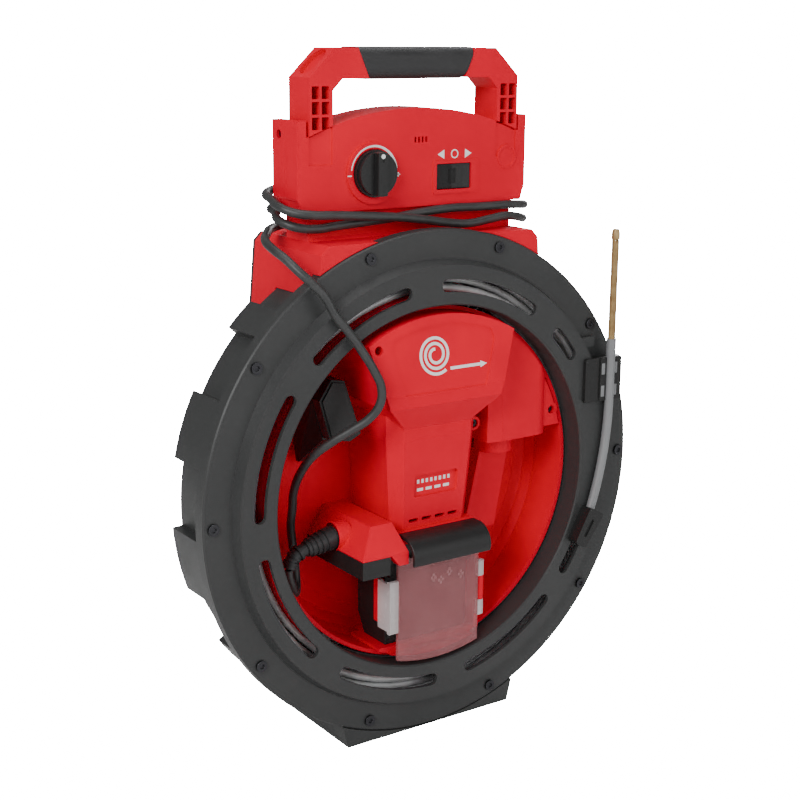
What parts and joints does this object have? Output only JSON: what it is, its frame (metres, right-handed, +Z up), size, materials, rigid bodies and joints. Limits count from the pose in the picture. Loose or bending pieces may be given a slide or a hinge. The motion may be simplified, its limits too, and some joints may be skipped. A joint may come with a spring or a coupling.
{
  "type": "drain snake machine",
  "caption": "Battery drain snake machine: flexible cable in a ring-shaped cassette on a stand, with motor, control head, carrying handle and guide tube.",
  "frame": {"origin": "centre of the foot's underside, on the ground", "axes": "+Z up, +Y from the front to the back, +X to the right as seen from the front"},
  "size_m": [0.3859, 0.1278, 0.5148],
  "materials": {
    "charcoal_plastic": "fine-textured charcoal moulded plastic",
    "rubber": "matt dark grey rubber",
    "red_plastic": "satin red moulded plastic with a fine spark texture",
    "zinc_steel": "plain machined steel",
    "black_steel": "black oxide screw steel",
    "grey_plastic": "mid-grey moulded plastic",
    "cable": "grey jacketed steel cable, wound in turns",
    "alloy": "plain alloy plate",
    "rotor_steel": "laminated steel rotor with a moulded fan",
    "copper": "copper windings in a steel stack",
    "board": "green circuit board",
    "black_plastic": "satin black moulded plastic",
    "clear_plastic": "frosted clear plastic",
    "gauge_lens": "dark lens over the charge lamps",
    "bronze": "bronze-coloured spiral-wound wire"
  },
  "bodies": {
    "machine": {"foot": "charcoal_plastic", "foot_pads": "rubber", "shoulder": "red_plastic", "back_frame": "red_plastic", "rear_cover": "charcoal_plastic", "rear_screws": "zinc_steel", "dish": "red_plastic", "front_cover": "charcoal_plastic", "cover_screws": "black_steel", "rear_shell": "charcoal_plastic", "reel_bushes": "grey_plastic", "gear_plate": "alloy", "motor_plate": "alloy", "gearbox_posts": "zinc_steel", "idler_pin": "zinc_steel", "compound_shaft": "zinc_steel", "motor_stator": "copper", "bearings": "zinc_steel", "housing": "red_plastic", "housing_screws": "black_steel", "side_housing": "red_plastic", "driver_board": "board", "latch_pin": "zinc_steel", "deck_cover": "red_plastic", "deck_plate": "black_plastic", "door_hood": "black_plastic", "battery_dock": "black_plastic", "battery_pack": "black_plastic", "battery_bay": "red_plastic", "hinge_pin": "zinc_steel", "strain_relief": "rubber", "cord": "rubber", "cord_grommet": "rubber", "head_front": "red_plastic", "head_rear": "red_plastic", "head_screws": "black_steel", "handle": "red_plastic", "grip": "rubber", "speed_pot": "grey_plastic", "switch_body": "grey_plastic", "gauge_window": "gauge_lens", "guide_sleeve": "black_plastic", "guide_tube": "grey_plastic", "tube_bracket": "black_plastic", "clip_pads": "grey_plastic"},
    "reel": {"reel_hub": "red_plastic", "ring_gear": "zinc_steel", "cable_coil": "cable"},
    "idler": {"idler_gear": "zinc_steel"},
    "compound": {"compound_gear": "zinc_steel"},
    "rotor": {"motor_rotor": "rotor_steel", "motor_pinion": "zinc_steel"},
    "latch": {"drum_latch": "black_plastic"},
    "knob": {"speed_knob": "black_plastic"},
    "rocker_key": {"rocker": "black_plastic"},
    "door": {"battery_door": "clear_plastic"},
    "left_button": {"button_left": "red_plastic"},
    "right_button": {"button_right": "red_plastic"},
    "leader_line": {"leader": "bronze", "leader_tip": "bronze"}
  },
  "joints": [
    {"name": "reel_spin", "type": "hinge", "parent": "machine", "child": "reel", "pos_m": [0, -0.005, 0.194], "axis": [0, 1, 0], "continuous": true},
    {"name": "idler_spin", "type": "hinge", "parent": "machine", "child": "idler", "pos_m": [0, -0.005, 0.304], "axis": [0, 1, 0], "continuous": true},
    {"name": "compound_spin", "type": "hinge", "parent": "machine", "child": "compound", "pos_m": [0, -0.005, 0.259], "axis": [0, 1, 0], "continuous": true},
    {"name": "motor_spin", "type": "hinge", "parent": "machine", "child": "rotor", "pos_m": [0, -0.02, 0.214], "axis": [0, 1, 0], "continuous": true},
    {"name": "knob_turn", "type": "hinge", "parent": "machine", "child": "knob", "pos_m": [-0.0385, -0.02, 0.427], "axis": [0, 1, 0], "range_deg": [-95, 95]},
    {"name": "rocker_tilt", "type": "hinge", "parent": "machine", "child": "rocker_key", "pos_m": [0.03325, -0.019, 0.4215], "axis": [0, 0, 1], "range_deg": [-8, 8]},
    {"name": "door_hinge", "type": "hinge", "parent": "machine", "child": "door", "pos_m": [0.043, -0.053, 0.106], "axis": [0, 0, 1], "range_deg": [0, 100]},
    {"name": "left_button_press", "type": "slide", "parent": "machine", "child": "left_button", "axis": [1, 0, 0], "range_m": [0, 0.0025], "stiffness_N_per_m": 300},
    {"name": "right_button_press", "type": "slide", "parent": "machine", "child": "right_button", "axis": [-1, 0, 0], "range_m": [0, 0.0025], "stiffness_N_per_m": 300},
    {"name": "leader_feed", "type": "slide", "parent": "machine", "child": "leader_line", "axis": [0, 0, 1], "range_m": [0, 0.035]},
    {"name": "latch_turn", "type": "hinge", "parent": "machine", "child": "latch", "pos_m": [-0.077, -0.015, 0.252], "axis": [0, 1, 0], "range_deg": [0, 12]}
  ],
  "couplings": [
    {"joint": "idler_spin", "follows": "reel_spin", "ratio": 4.6667},
    {"joint": "compound_spin", "follows": "reel_spin", "ratio": -9.3333},
    {"joint": "motor_spin", "follows": "reel_spin", "ratio": 37.333}
  ]
}
